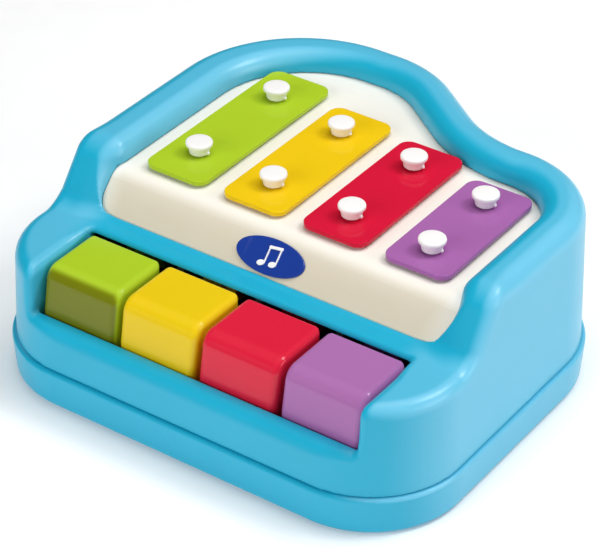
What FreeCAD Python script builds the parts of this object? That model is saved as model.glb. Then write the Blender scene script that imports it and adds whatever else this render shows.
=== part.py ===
import FreeCAD, Part

import math
import os

# Toy piano with four keys and four tone bars. Millimetres, +Z up.
# The dimensions are measured from the middle of the row of keys, with the keys at -Y.
# Each piece is then moved so that the origin is on the floor, under the middle of the footprint.

V = FreeCAD.Vector

# ---- Driving dimensions -------------------------------------------------------------

COLOURS = ["green", "yellow", "red", "purple"]
KEY_PITCH = 48.0
KEY_WIDTH = 45.2
BAR_WIDTH = 37.2
BAR_LENGTHS = {"green": 116.6, "yellow": 103.7, "red": 96.5, "purple": 84.5}

HALF_WIDTH = 128.5
LEFT_SWELL = 3.5
FRONT_DEPTH = 132.3
FRONT_RADIUS = 53.0
RIGHT_BACK_CENTRE = (69.5, 22.4)
RIGHT_BACK_RADIUS = 59.0
WAIST_CENTRE = (67.0, 145.0)
WAIST_RADIUS = 63.6
SHOULDER_CENTRE = (-38.4, 53.9)
SHOULDER_RADIUS = 72.6
LEFT_BACK_CENTRE = (-46.5, 44.5)
LEFT_BACK_RADIUS = 82.0

FOOT_STAND = 0.8
PARTING_Z = 22.0
LIP_Z = 45.6
CHEEK_Z = 72.3
DECK_Z = 89.8
RIM_Z = 102.3
WALL = 3.0
SKIRT = 2.5
LIP_SKIRT = 7.5
HOUSING_INSET = 2.4
HOUSING_DRAFT = 3.2
RISER_FOOT_Y = -69.0
RISER_TOP_Y = -46.4
RISER_CREST_RADIUS = 10.0
RISER_FOOT_RADIUS = 7.0
TOP_ROUNDING = 9.0

WELL_HALF_WIDTH = 96.0
WELL_FRONT_Y = -119.0
WELL_BACK_Y = -75.2
WELL_SKIRT_Z = 26.0
LIP_SKIRT_Z = 36.0
LIP_ROUNDING = 5.0
LEDGE_SKIRT_Z = 68.8
LEDGE_FRONT_Y = -77.0

DECK_INSET = 25.0
DECK_FRONT_Y = -62.2
DECK_CORNER = 8.5
DECK_THICKNESS = 2.5
DECK_BEND_Y = -44.7
DECK_BEND_RADIUS = 14.0
DECK_GAP = 0.3
DECK_SHELF = 4.0
DECK_RING_Z = 65.0

BASE_FLOOR = 2.5
BASE_TOP_ROUNDING = 1.6
TONGUE_HEIGHT = 3.5
TONGUE_INSET = 5.7
TONGUE_THICKNESS = 2.0
SHELF_Z = 17.0

ROD_RADIUS = 2.5
ROD_HALF_LENGTH = 101.8
KEY_ROD = (-59.0, 58.0)
HAMMER_ROD = (-42.5, 67.0)
FRAME_HOLE_RADIUS = 2.55
PIVOT_HOLE_RADIUS = 2.56
CAP_RADIUS = 4.5
CAP_THICKNESS = 3.0

KEY_TOP_Z = 70.1
KEY_BOTTOM_Z = 30.0
KEY_FRONT_Y = -118.0
KEY_FRONT_TOP_Y = -113.8
KEY_BACK_Y = -77.6
KEY_WALL = 2.5
KEY_SIDE_ROUNDING = 3.8
KEY_FRONT_ROUNDING = 9.0
KEY_BACK_CORNER = 4.0
KEY_BACK_ROUNDING = 1.5
KEY_WEB = 6.0
TIP_Y = -31.5
TIP_RADIUS = 3.0
TIP_GAP = 0.3
TOE_TOP_Z = 33.4

HAMMER_LENGTH = 50.0
HAMMER_HALF_HEIGHT = 2.5
HAMMER_WIDTH = 8.0
HEAD_RADIUS = 6.0
HEAD_STEM_RADIUS = 2.0
STRIKE_Y = HAMMER_ROD[0] + HAMMER_LENGTH
HAMMER_REST_Z = 62.3

BAR_FRONT_Y = -39.2
BAR_Z = 91.3
BAR_THICKNESS = 2.8
BAR_CORNER = 6.5
BAR_HOLE_RADIUS = 3.4
NEAR_NODE_SHARE = 0.198
FAR_NODE_SHARE = 0.78
PEG_RADIUS = 2.9
PEG_NECK_RADIUS = 5.2
PEG_HEAD_RADIUS = 6.5
PEG_HEAD_HEIGHT = 6.9
PEG_TOP_Z = 102.0
PEG_BOTTOM_Z = 82.0

BADGE_HALF_WIDTH = 20.0
BADGE_HALF_HEIGHT = 9.2
BADGE_THICKNESS = 1.0
BADGE_SHARE = 0.43

SPRING_Y = -96.0
SPRING_BOTTOM_Z = 20.0
SPRING_TOP_Z = 48.0
SPRING_RADIUS = 4.6
SPRING_WIRE = 0.6
SPRING_TURNS = 7.0
SPRING_SEAT_RADIUS = 6.5
SPRING_PIN_RADIUS = 3.0

STOP_Y = -108.0
STOP_FELT_Z = 20.5
STOP_FELT_THICKNESS = 2.5

SCREW_RADIUS = 1.45
PILOT_RADIUS = 1.5
THROUGH_RADIUS = 1.8
SCREW_HEAD_RADIUS = 3.2
SCREW_HEAD_HEIGHT = 2.2
BORE_RADIUS = 3.6
POST_RADIUS = 5.0
BOSS_RADIUS = 4.5

HOUSING_SCREWS = [(-110.0, -92.0), (110.0, -92.0), (-114.5, 0.0), (114.5, 0.0), (-80.5, 103.4), (101.3, 54.2)]
HOUSING_POST_TOP_Z = 26.5
HOUSING_SEAT_Z = 12.0
DECK_SCREWS = [(-95.0, 14.0), (95.0, 14.0), (-85.0, 70.0), (60.0, 44.0)]
DECK_POST_TOP_Z = 39.8
DECK_SEAT_Z = 30.0
FRAME_SCREWS = [(-72.0, -64.0), (72.0, -64.0), (-72.0, -26.0), (72.0, -26.0)]
FRAME_PLATE_Z = 9.0
FRAME_PLATE_THICKNESS = 3.0
FEET = [(-88.0, -96.0), (88.0, -96.0), (-60.0, 96.0), (85.0, 50.0)]
FOOT_RADIUS = 8.0
FOOT_THICKNESS = 2.0


# ---- Small tools --------------------------------------------------------------------

def key_x(colour):
    """The X of a key's middle, from left to right in the order of COLOURS."""
    return (COLOURS.index(colour) - (len(COLOURS) - 1) / 2) * KEY_PITCH


def block(x0, x1, y0, y1, z0, z1):
    return Part.makeBox(x1 - x0, y1 - y0, z1 - z0, V(x0, y0, z0))


def post(x, y, z0, z1, radius):
    return Part.makeCylinder(radius, z1 - z0, V(x, y, z0))


def crosswise(y, z, radius, x0, x1):
    """A cylinder that lies along X."""
    return Part.makeCylinder(radius, x1 - x0, V(x0, y, z), V(1, 0, 0))


def fuse(shapes):
    """One clean solid from shapes that touch."""
    return shapes[0].multiFuse(shapes[1:]).removeSplitter()


def loft(lower, upper):
    return Part.makeLoft([lower, upper], True, True)


def rounded_wire(corners):
    """Closed wire through corners, each a point and the radius that rounds it. 0 leaves it sharp."""
    ends = []
    for i, (point, radius) in enumerate(corners):
        if radius == 0:
            ends.append((point, None, point))
            continue
        to_last = (corners[i - 1][0] - point).normalize()
        to_next = (corners[(i + 1) % len(corners)][0] - point).normalize()
        half_angle = to_last.getAngle(to_next) / 2
        setback = radius / math.tan(half_angle)
        inward = (to_last + to_next).normalize()
        middle = point + inward * (radius / math.sin(half_angle) - radius)
        ends.append((point + to_last * setback, middle, point + to_next * setback))
    edges = []
    for i, (start, middle, end) in enumerate(ends):
        if middle is not None:
            edges.append(Part.Arc(start, middle, end).toShape())
        following = ends[(i + 1) % len(ends)][0]
        if (following - end).Length > 1e-6:
            edges.append(Part.makeLine(end, following))
    return Part.Wire(edges)


def side_prism(corners, x0, x1):
    """A solid between x0 and x1 from a side outline of (y, z, rounding) corners."""
    wire = rounded_wire([(V(x0, y, z), radius) for y, z, radius in corners])
    return Part.Face(wire).extrude(V(x1 - x0, 0, 0))


def tube(x, y, z0, z1, outer, inner):
    return post(x, y, z0, z1, outer).cut(post(x, y, z0, z1, inner))


def export(name, shape):
    """Write one piece, with the origin moved under the middle of the footprint."""
    back_y = LEFT_BACK_CENTRE[1] + LEFT_BACK_RADIUS
    shape.translate(V(LEFT_SWELL / 2, (FRONT_DEPTH - back_y) / 2, 0))
    shape.exportStep("parts/" + name + ".step")


# ---- Plan outline -------------------------------------------------------------------

def outline_arcs(inset, front_y, front_radius, swell):
    """The grand-piano outline as (centre, radius, start, end), anticlockwise from the front right.

    Swell moves its left side outwards.
    """
    run = WAIST_CENTRE[0] - SHOULDER_CENTRE[0]
    rise = WAIST_CENTRE[1] - SHOULDER_CENTRE[1]
    lean = math.acos((WAIST_RADIUS + SHOULDER_RADIUS) / math.hypot(run, rise))
    turn = math.degrees(math.atan2(rise, run) + lean)
    corner_x = HALF_WIDTH - inset - front_radius
    corner_y = front_y + front_radius
    return [
        ((corner_x, corner_y), front_radius, -90, 0),
        (RIGHT_BACK_CENTRE, RIGHT_BACK_RADIUS - inset, 0, 90),
        (WAIST_CENTRE, WAIST_RADIUS + inset, -90, turn - 180),
        (SHOULDER_CENTRE, SHOULDER_RADIUS - inset, turn, 90),
        ((LEFT_BACK_CENTRE[0] - swell, LEFT_BACK_CENTRE[1]), LEFT_BACK_RADIUS - inset, 90, 180),
        ((-corner_x - swell, corner_y), front_radius, 180, 270),
    ]


def outline_wire(inset, z, front_y, front_radius, swell):
    """The outline at height z, moved inwards by inset, with its own front edge and front corners."""

    def on_arc(centre, radius, angle):
        turn = math.radians(angle)
        return V(centre[0] + radius * math.cos(turn), centre[1] + radius * math.sin(turn), z)

    edges = []
    last = None
    for centre, radius, start, end in outline_arcs(inset, front_y, front_radius, swell):
        begin = on_arc(centre, radius, start)
        middle = on_arc(centre, radius, (start + end) / 2)
        if last is not None:
            edges.append(Part.makeLine(last, begin))
        last = on_arc(centre, radius, end)
        edges.append(Part.Arc(begin, middle, last).toShape())
    edges.append(Part.makeLine(last, edges[0].firstVertex().Point))
    return Part.Wire(edges)


def body_wire(inset, z):
    return outline_wire(inset, z, -FRONT_DEPTH + inset, FRONT_RADIUS - inset, LEFT_SWELL)


def body_prism(inset, z0, z1):
    return Part.Face(body_wire(inset, z0)).extrude(V(0, 0, z1 - z0))


def deck_prism(grow, z0, z1):
    """The deck's outline, moved outwards by grow."""
    wire = outline_wire(DECK_INSET - grow, z0, DECK_FRONT_Y - grow, DECK_CORNER + grow, 0)
    return Part.Face(wire).extrude(V(0, 0, z1 - z0))


def deck_layer(top, bottom):
    """All that lies between two depths under the deck's top surface, with its sloping apron."""
    far = 200.0
    slope = (DECK_Z - CHEEK_Z) / (DECK_BEND_Y - DECK_FRONT_Y)
    tilt = math.atan(slope)

    def surface(depth):
        """The foot, bend and far end of the surface at this depth, with the bend's own rounding."""
        bend_y = DECK_BEND_Y + depth * math.tan(tilt / 2)
        bend_z = DECK_Z - depth
        rounding = max(DECK_BEND_RADIUS - depth, 0)
        return [(bend_y - far, bend_z - far * slope, 0), (bend_y, bend_z, rounding), (2 * far, bend_z, 0)]

    return side_prism(surface(top) + surface(bottom)[::-1], -far, far)


def ledge_room(grow):
    """The room over the flat ledge at the apron's foot and beside its corners, moved outwards by grow."""
    half = HALF_WIDTH - DECK_INSET + DECK_GAP + grow
    over_ledge = block(-half, half, LEDGE_FRONT_Y, DECK_BEND_Y, CHEEK_Z - grow, 200)
    return over_ledge.common(deck_layer(-200, grow))


# ---- Housing ------------------------------------------------------------------------

def housing_form(extra_inset, drop, rounding):
    """The upper housing's drafted form with rounded top edges, shrunk for the inside when asked."""
    low_inset = HOUSING_INSET + extra_inset
    high_inset = low_inset + HOUSING_DRAFT
    top_z = 106.0
    drafted = loft(body_wire(low_inset, PARTING_Z), body_wire(high_inset, top_z))
    back = drop / 2
    far = 200.0
    corners = [
        (-far, 10.0, 0),
        (far, 10.0, 0),
        (far, RIM_Z - drop, 0),
        (RISER_TOP_Y + back, RIM_Z - drop, RISER_CREST_RADIUS),
        (RISER_FOOT_Y + back, CHEEK_Z - drop, RISER_FOOT_RADIUS),
        (-far, CHEEK_Z - drop, 0),
    ]
    form = drafted.common(side_prism(corners, -far, far))
    top_edges = []
    for edge in form.Edges:
        box = edge.BoundBox
        crosses_body = box.XLength > HALF_WIDTH and box.YLength < 0.001
        is_front = box.YMax < -FRONT_DEPTH + high_inset + 1.0
        if box.ZMin > CHEEK_Z - drop - 0.1 and (is_front or not crosses_body):
            top_edges.append(edge)
    return form.makeFillet(rounding, top_edges)


def upper_housing():
    far = 140.0
    half = WELL_HALF_WIDTH
    form = housing_form(0, 0, TOP_ROUNDING)
    room = housing_form(WALL, WALL, TOP_ROUNDING - WALL)
    well_walls = block(
        -half - SKIRT, half + SKIRT, WELL_FRONT_Y - LIP_SKIRT, WELL_BACK_Y + SKIRT, WELL_SKIRT_Z, far
    )
    hollow = room.cut(well_walls).cut(deck_prism(DECK_GAP + SKIRT, DECK_RING_Z, far))
    hollow = hollow.cut(ledge_room(WALL))
    bosses = [post(x, y, HOUSING_POST_TOP_Z + 0.2, far, BOSS_RADIUS).common(form) for x, y in HOUSING_SCREWS]
    shell = fuse([form.cut(hollow)] + bosses)

    inside_cuts = [
        block(-half, half, WELL_FRONT_Y, WELL_BACK_Y, 0, LIP_Z),
        block(-half, half, WELL_FRONT_Y - LIP_SKIRT, WELL_FRONT_Y, 0, LIP_SKIRT_Z),
        block(-half, half, WELL_BACK_Y, WELL_BACK_Y + SKIRT, 0, LEDGE_SKIRT_Z),
    ]
    cuts = [cut.common(room) for cut in inside_cuts]
    cuts += [
        block(-half, half, -far, WELL_BACK_Y, LIP_Z, far),
        ledge_room(0),
        deck_prism(DECK_GAP, 0, far).common(deck_layer(-far, DECK_THICKNESS)),
        deck_prism(DECK_GAP, 0, far).common(deck_layer(DECK_THICKNESS + SKIRT, far)),
        deck_prism(-DECK_SHELF, 0, far),
    ]
    cuts += [post(x, y, 0, HOUSING_POST_TOP_Z + 20, PILOT_RADIUS) for x, y in HOUSING_SCREWS]
    for cut in cuts:
        shell = shell.cut(cut)
    shell = shell.removeSplitter()

    lip_edges = []
    for edge in shell.Edges:
        box = edge.BoundBox
        on_lip = box.ZLength < 0.01 and abs(box.ZMin - LIP_Z) < 0.01
        if on_lip and box.XLength > HALF_WIDTH and box.YMax < WELL_FRONT_Y - WALL:
            lip_edges.append(edge)
    return shell.makeFillet(LIP_ROUNDING, lip_edges)


def base_tray():
    floor_z = FOOT_STAND + BASE_FLOOR
    lower = loft(body_wire(1.5, FOOT_STAND), body_wire(0, PARTING_Z))
    bottom_edges = [edge for edge in lower.Edges if edge.BoundBox.ZMax < FOOT_STAND + 0.1]
    top_edges = [edge for edge in lower.Edges if edge.BoundBox.ZMin > PARTING_Z - 0.1]
    lower = lower.makeFillet(3.0, bottom_edges).makeFillet(BASE_TOP_ROUNDING, top_edges)
    tray = lower.fuse(body_prism(TONGUE_INSET, SHELF_Z, PARTING_Z + TONGUE_HEIGHT))
    tray = tray.cut(body_prism(WALL + 1.5, floor_z, SHELF_Z))
    tray = tray.cut(body_prism(TONGUE_INSET + TONGUE_THICKNESS, floor_z, RIM_Z))

    root_z = floor_z - 0.5
    additions = [tray, block(-94, 94, STOP_Y - 3, STOP_Y + 3, root_z, STOP_FELT_Z)]
    additions += [post(x, y, root_z, HOUSING_POST_TOP_Z, POST_RADIUS) for x, y in HOUSING_SCREWS]
    additions += [post(x, y, root_z, DECK_POST_TOP_Z, POST_RADIUS) for x, y in DECK_SCREWS]
    additions += [post(x, y, root_z, FRAME_PLATE_Z, POST_RADIUS) for x, y in FRAME_SCREWS]
    for colour in COLOURS:
        additions.append(post(key_x(colour), SPRING_Y, root_z, SPRING_BOTTOM_Z, SPRING_SEAT_RADIUS))
        additions.append(post(key_x(colour), SPRING_Y, root_z, SPRING_BOTTOM_Z + 6, SPRING_PIN_RADIUS))
    tray = fuse(additions)

    holes = [post(x, y, 0, HOUSING_SEAT_Z, BORE_RADIUS) for x, y in HOUSING_SCREWS]
    holes += [post(x, y, 0, HOUSING_POST_TOP_Z + 1, THROUGH_RADIUS) for x, y in HOUSING_SCREWS]
    holes += [post(x, y, 0, DECK_SEAT_Z, BORE_RADIUS) for x, y in DECK_SCREWS]
    holes += [post(x, y, 0, DECK_POST_TOP_Z + 1, THROUGH_RADIUS) for x, y in DECK_SCREWS]
    holes += [post(x, y, floor_z, FRAME_PLATE_Z + 1, PILOT_RADIUS) for x, y in FRAME_SCREWS]
    holes += [post(x, y, 0, FOOT_THICKNESS, FOOT_RADIUS + 0.1) for x, y in FEET]
    for hole in holes:
        tray = tray.cut(hole)
    return tray


def rubber_feet():
    feet = []
    for x, y in FEET:
        pad = post(x, y, 0, FOOT_THICKNESS, FOOT_RADIUS)
        lower_edges = [edge for edge in pad.Edges if edge.BoundBox.ZMax < 0.1]
        feet.append(pad.makeFillet(0.5, lower_edges))
    return Part.makeCompound(feet)


# ---- Deck and tone bars -------------------------------------------------------------

def peg_spots(colour):
    """Where a bar is held: the two places that stay still when it rings."""
    length = BAR_LENGTHS[colour]
    near = BAR_FRONT_Y + NEAR_NODE_SHARE * length
    far = BAR_FRONT_Y + FAR_NODE_SHARE * length
    return [(key_x(colour), near), (key_x(colour), far)]


def all_peg_spots():
    return [spot for colour in COLOURS for spot in peg_spots(colour)]


def bar_deck():
    panel = deck_prism(0, 0, RIM_Z).common(deck_layer(0, DECK_THICKNESS))
    underside = DECK_Z - DECK_THICKNESS
    pillars = [post(x, y, DECK_POST_TOP_Z + 0.2, underside + 0.5, BOSS_RADIUS) for x, y in DECK_SCREWS]
    deck = fuse([panel] + pillars)
    for x, y in DECK_SCREWS:
        deck = deck.cut(post(x, y, 0, DECK_POST_TOP_Z + 16, PILOT_RADIUS))
    for x, y in all_peg_spots():
        deck = deck.cut(post(x, y, underside - 1, DECK_Z + 1, PEG_RADIUS + 0.05))
    for colour in COLOURS:
        x = key_x(colour)
        slot = block(x - 8, x + 8, STRIKE_Y - 9, STRIKE_Y + 9, underside - 1, DECK_Z + 1)
        upright = [edge for edge in slot.Edges if edge.BoundBox.ZLength > 1]
        deck = deck.cut(slot.makeFillet(3.0, upright))
    return deck


def tone_bar(colour):
    x = key_x(colour)
    half = BAR_WIDTH / 2
    back_y = BAR_FRONT_Y + BAR_LENGTHS[colour]
    top_z = BAR_Z + BAR_THICKNESS
    bar = block(x - half, x + half, BAR_FRONT_Y, back_y, BAR_Z, top_z)
    upright = [edge for edge in bar.Edges if edge.BoundBox.ZLength > 1]
    bar = bar.makeFillet(BAR_CORNER, upright)
    flat_edges = [edge for edge in bar.Edges if edge.BoundBox.ZLength < 0.01]
    bar = bar.makeFillet(0.6, flat_edges)
    for hole_x, hole_y in peg_spots(colour):
        bar = bar.cut(post(hole_x, hole_y, BAR_Z - 1, top_z + 1, BAR_HOLE_RADIUS))
    return bar


def peg(x, y):
    """A tapered head on a straight shank through bar and deck, with a small catch under its rim."""
    neck_z = PEG_TOP_Z - PEG_HEAD_HEIGHT
    profile = [
        (V(0, 0, PEG_BOTTOM_Z), 0),
        (V(PEG_RADIUS, 0, PEG_BOTTOM_Z), 0.8),
        (V(PEG_RADIUS, 0, neck_z), 0),
        (V(PEG_NECK_RADIUS, 0, neck_z), 0.5),
        (V(PEG_HEAD_RADIUS, 0, PEG_TOP_Z - 0.9), 0.6),
        (V(PEG_HEAD_RADIUS - 0.6, 0, PEG_TOP_Z), 0.9),
        (V(0, 0, PEG_TOP_Z), 0),
    ]
    turned = Part.Face(rounded_wire(profile)).revolve(V(0, 0, 0), V(0, 0, 1), 360)
    catch = block(0, PEG_HEAD_RADIUS - 0.7, -0.8, 0.8, neck_z + 0.4, neck_z + 1.8)
    solid = fuse([turned, catch])
    solid.translate(V(x, y, 0))
    return solid


def bar_pegs():
    return Part.makeCompound([peg(x, y) for x, y in all_peg_spots()])


def bar_cushions():
    rings = [tube(x, y, DECK_Z, BAR_Z, 6.5, PEG_RADIUS + 0.2) for x, y in all_peg_spots()]
    return Part.makeCompound(rings)


def peg_retainers():
    top = DECK_Z - DECK_THICKNESS
    rings = [tube(x, y, top - 1.0, top, 6.0, PEG_RADIUS + 0.02) for x, y in all_peg_spots()]
    return Part.makeCompound(rings)


def front_badge():
    """A thin oval plate that lies on the sloping apron."""
    plate = Part.Face(Part.Wire(Part.Ellipse(V(0, 0, 0), BADGE_HALF_WIDTH, BADGE_HALF_HEIGHT).toShape()))
    solid = plate.extrude(V(0, 0, BADGE_THICKNESS))
    upper_edges = [edge for edge in solid.Edges if edge.BoundBox.ZMin > BADGE_THICKNESS - 0.01]
    solid = solid.makeFillet(0.5, upper_edges)
    rise = DECK_Z - CHEEK_Z
    run = DECK_BEND_Y - DECK_FRONT_Y
    solid.rotate(V(0, 0, 0), V(1, 0, 0), math.degrees(math.atan2(rise, run)))
    solid.translate(V(0, DECK_FRONT_Y + run * BADGE_SHARE, CHEEK_Z + rise * BADGE_SHARE))
    return solid


# ---- Keys and hammers ---------------------------------------------------------------

def key(colour):
    """A hollow cap with a web behind it, which turns on the key rod and ends in a rounded lifting tip."""
    x = key_x(colour)
    half = KEY_WIDTH / 2
    rod_y, rod_z = KEY_ROD
    tip_z = HAMMER_ROD[1] - HAMMER_HALF_HEIGHT - TIP_GAP - TIP_RADIUS
    outside = [
        (KEY_FRONT_Y, KEY_BOTTOM_Z, 0),
        (KEY_FRONT_Y, LIP_Z, 20.0),
        (KEY_FRONT_TOP_Y, KEY_TOP_Z, KEY_FRONT_ROUNDING),
        (KEY_BACK_Y, KEY_TOP_Z, 0),
        (KEY_BACK_Y, KEY_BOTTOM_Z, 0),
    ]
    inside = [
        (KEY_FRONT_Y + KEY_WALL, 0, 0),
        (KEY_FRONT_Y + KEY_WALL, LIP_Z, 20.0),
        (KEY_FRONT_TOP_Y + KEY_WALL, KEY_TOP_Z - KEY_WALL, KEY_FRONT_ROUNDING - KEY_WALL),
        (KEY_BACK_Y - KEY_WALL, KEY_TOP_Z - KEY_WALL, 1.0),
        (KEY_BACK_Y - KEY_WALL, 0, 0),
    ]
    cap = side_prism(outside, x - half, x + half)
    side_edges = []
    for edge in cap.Edges:
        box = edge.BoundBox
        if box.XLength < 0.01 and box.ZMax > KEY_BOTTOM_Z + 0.1 and box.YMin < KEY_BACK_Y - 0.1:
            side_edges.append(edge)
    cap = cap.makeFillet(KEY_SIDE_ROUNDING, side_edges)
    plan = rounded_wire([
        (V(x - half, KEY_FRONT_Y - 5, 0), 0),
        (V(x + half, KEY_FRONT_Y - 5, 0), 0),
        (V(x + half, KEY_BACK_Y, 0), KEY_BACK_CORNER),
        (V(x - half, KEY_BACK_Y, 0), KEY_BACK_CORNER),
    ])
    cap = cap.common(Part.Face(plan).extrude(V(0, 0, RIM_Z)))
    back_edges = []
    for edge in cap.Edges:
        box = edge.BoundBox
        if box.YMin > KEY_BACK_Y - KEY_BACK_CORNER - 0.1 and box.ZMin > KEY_TOP_Z - KEY_SIDE_ROUNDING - 0.1:
            if box.XLength > 0.1:
                back_edges.append(edge)
    cap = cap.makeFillet(KEY_BACK_ROUNDING, back_edges)
    cap = cap.cut(side_prism(inside, x - half + KEY_WALL, x + half - KEY_WALL))

    web_half = KEY_WEB / 2
    web = [
        (KEY_BACK_Y - 1, 44, 0),
        (TIP_Y - TIP_RADIUS, 52, 3.0),
        (TIP_Y + TIP_RADIUS, 52, 3.0),
        (TIP_Y + TIP_RADIUS, tip_z, 0),
        (TIP_Y - TIP_RADIUS, tip_z, 0),
        (TIP_Y - TIP_RADIUS, 57.5, 1.5),
        (rod_y + 8, 57.5, 1.5),
        (rod_y, 61.5, 0),
        (KEY_BACK_Y - 1, 61.5, 0),
    ]
    seat_roof = KEY_TOP_Z - 1
    toe = block(x - 9, x + 9, KEY_FRONT_Y - 3.0, KEY_FRONT_Y + 1, KEY_BOTTOM_Z + 1, TOE_TOP_Z)
    solid = fuse([
        cap,
        side_prism(web, x - web_half, x + web_half),
        crosswise(rod_y, rod_z, 6.0, x - 10, x + 10),
        crosswise(TIP_Y, tip_z, TIP_RADIUS, x - 6, x + 6),
        post(x, SPRING_Y, SPRING_TOP_Z, seat_roof, SPRING_SEAT_RADIUS),
        post(x, SPRING_Y, SPRING_TOP_Z - 5, seat_roof, SPRING_PIN_RADIUS),
        toe,
    ])
    return solid.cut(crosswise(rod_y, rod_z, PIVOT_HOLE_RADIUS, x - 11, x + 11))


def hammer_arm(colour):
    x = key_x(colour)
    rod_y, rod_z = HAMMER_ROD
    half_width = HAMMER_WIDTH / 2
    end_y = STRIKE_Y + HEAD_RADIUS
    side = [
        (rod_y, rod_z - HAMMER_HALF_HEIGHT, 0),
        (end_y, rod_z - HAMMER_HALF_HEIGHT, 2.0),
        (end_y, rod_z + HAMMER_HALF_HEIGHT, 1.0),
        (rod_y, rod_z + HAMMER_HALF_HEIGHT, 0),
    ]
    arm = fuse([
        side_prism(side, x - half_width, x + half_width),
        crosswise(rod_y, rod_z, 5.5, x - 9, x + 9),
    ])
    arm = arm.cut(crosswise(rod_y, rod_z, PIVOT_HOLE_RADIUS, x - 10, x + 10))
    return arm.cut(post(x, STRIKE_Y, 0, RIM_Z, HEAD_STEM_RADIUS + 0.02))


def hammer_head(colour):
    """A domed striking head whose stem sits in the arm."""
    x = key_x(colour)
    seat_z = HAMMER_ROD[1] + HAMMER_HALF_HEIGHT
    dome = Part.makeSphere(HEAD_RADIUS, V(x, STRIKE_Y, seat_z), V(0, 0, 1), 0, 90, 360)
    stem = post(x, STRIKE_Y, seat_z - 2 * HAMMER_HALF_HEIGHT + 0.5, seat_z + 1, HEAD_STEM_RADIUS)
    return fuse([dome, stem])


def return_spring(colour):
    """A compression spring between the base's post and the seat under the key."""
    height = SPRING_TOP_Z - SPRING_BOTTOM_Z - 2 * SPRING_WIRE - 0.1
    helix = Part.makeHelix(height / SPRING_TURNS, height, SPRING_RADIUS)
    start = V(SPRING_RADIUS, 0, 0)
    section = Part.Wire(Part.Circle(start, V(0, 1, 0), SPRING_WIRE).toShape())
    coil = Part.Wire(helix.Edges).makePipeShell([section], True, True)
    coil.translate(V(key_x(colour), SPRING_Y, SPRING_BOTTOM_Z + SPRING_WIRE + 0.05))
    return coil


# ---- Action frame, rods and stops ---------------------------------------------------

def action_frame():
    """Base plate, five uprights with round holes for both rods, and a rail under the hammers."""
    plate_top = FRAME_PLATE_Z + FRAME_PLATE_THICKNESS
    key_y, key_z = KEY_ROD
    hammer_y, hammer_z = HAMMER_ROD
    side = [
        (-70, FRAME_PLATE_Z, 0),
        (-20, FRAME_PLATE_Z, 0),
        (-6, 48, 14.0),
        (0, HAMMER_REST_Z, 1.0),
        (-8, HAMMER_REST_Z, 1.0),
        (-20, 46, 10.0),
        (hammer_y + 5, 54, 4.0),
        (hammer_y + 6, hammer_z + 5, 5.0),
        (hammer_y - 5, hammer_z + 6, 5.0),
        (key_y + 3, key_z + 6, 0),
        (key_y - 6, key_z + 5, 5.0),
    ]
    shapes = [block(-101, 101, -70, -20, FRAME_PLATE_Z, plate_top)]
    for i in range(len(COLOURS) + 1):
        x = max(-97.0, min(97.0, (i - len(COLOURS) / 2) * KEY_PITCH))
        shapes.append(side_prism(side, x - 2, x + 2))
    shapes.append(block(-99, 99, -8, 0, HAMMER_REST_Z - 5, HAMMER_REST_Z))
    frame = fuse(shapes)
    for y, z in (KEY_ROD, HAMMER_ROD):
        frame = frame.cut(crosswise(y, z, FRAME_HOLE_RADIUS, -110, 110))
    for x, y in FRAME_SCREWS:
        frame = frame.cut(post(x, y, 0, plate_top + 1, THROUGH_RADIUS))
    return frame


def rod(place):
    y, z = place
    solid = crosswise(y, z, ROD_RADIUS, -ROD_HALF_LENGTH, ROD_HALF_LENGTH)
    ends = [edge for edge in solid.Edges if edge.BoundBox.XLength < 0.01]
    return solid.makeChamfer(0.4, ends)


def rod_caps():
    """Push-on caps over the four rod ends."""
    caps = []
    inner = ROD_HALF_LENGTH - CAP_THICKNESS + 0.5
    outer = ROD_HALF_LENGTH + 1.5
    for y, z in (KEY_ROD, HAMMER_ROD):
        cap = crosswise(y, z, CAP_RADIUS, inner, outer)
        end_edges = [edge for edge in cap.Edges if edge.BoundBox.XMin > outer - 0.1]
        cap = cap.makeFillet(1.0, end_edges)
        cap = cap.cut(crosswise(y, z, ROD_RADIUS + 0.02, 0, ROD_HALF_LENGTH + 0.1))
        caps += [cap, cap.mirror(V(0, 0, 0), V(1, 0, 0))]
    return Part.makeCompound(caps)


def key_down_stop():
    top = STOP_FELT_Z + STOP_FELT_THICKNESS
    return block(-94, 94, STOP_Y - 3, STOP_Y + 3, STOP_FELT_Z, top)


def key_up_stop():
    return block(-82, 82, WELL_FRONT_Y - SKIRT + 0.5, WELL_FRONT_Y, TOE_TOP_Z + 0.1, LIP_SKIRT_Z)


def hammer_rest():
    top = HAMMER_ROD[1] - HAMMER_HALF_HEIGHT - 0.2
    return block(-94, 94, -7.5, -0.5, HAMMER_REST_Z, top)


# ---- Screws -------------------------------------------------------------------------

def screw(x, y, seat_z, length, way):
    """A pan-head screw. Its head bears at seat_z, and its shank runs up (way 1) or down (way -1)."""
    head = post(0, 0, -SCREW_HEAD_HEIGHT, 0, SCREW_HEAD_RADIUS)
    rim = [edge for edge in head.Edges if edge.BoundBox.ZMax < 0.1 - SCREW_HEAD_HEIGHT]
    head = head.makeFillet(1.0, rim)
    shank = post(0, 0, 0, length - 1.5, SCREW_RADIUS)
    tip = Part.makeCone(SCREW_RADIUS, 0.3, 1.5, V(0, 0, length - 1.5))
    solid = fuse([head, shank, tip])
    for half_x, half_y in ((2.0, 0.4), (0.4, 2.0)):
        slot = block(-half_x, half_x, -half_y, half_y, -SCREW_HEAD_HEIGHT - 1, 1.2 - SCREW_HEAD_HEIGHT)
        solid = solid.cut(slot)
    if way < 0:
        solid.rotate(V(0, 0, 0), V(1, 0, 0), 180)
    solid.translate(V(x, y, seat_z))
    return solid


def screws(spots, seat_z, length, way):
    return Part.makeCompound([screw(x, y, seat_z, length, way) for x, y in spots])


# ---- All pieces ---------------------------------------------------------------------

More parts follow.
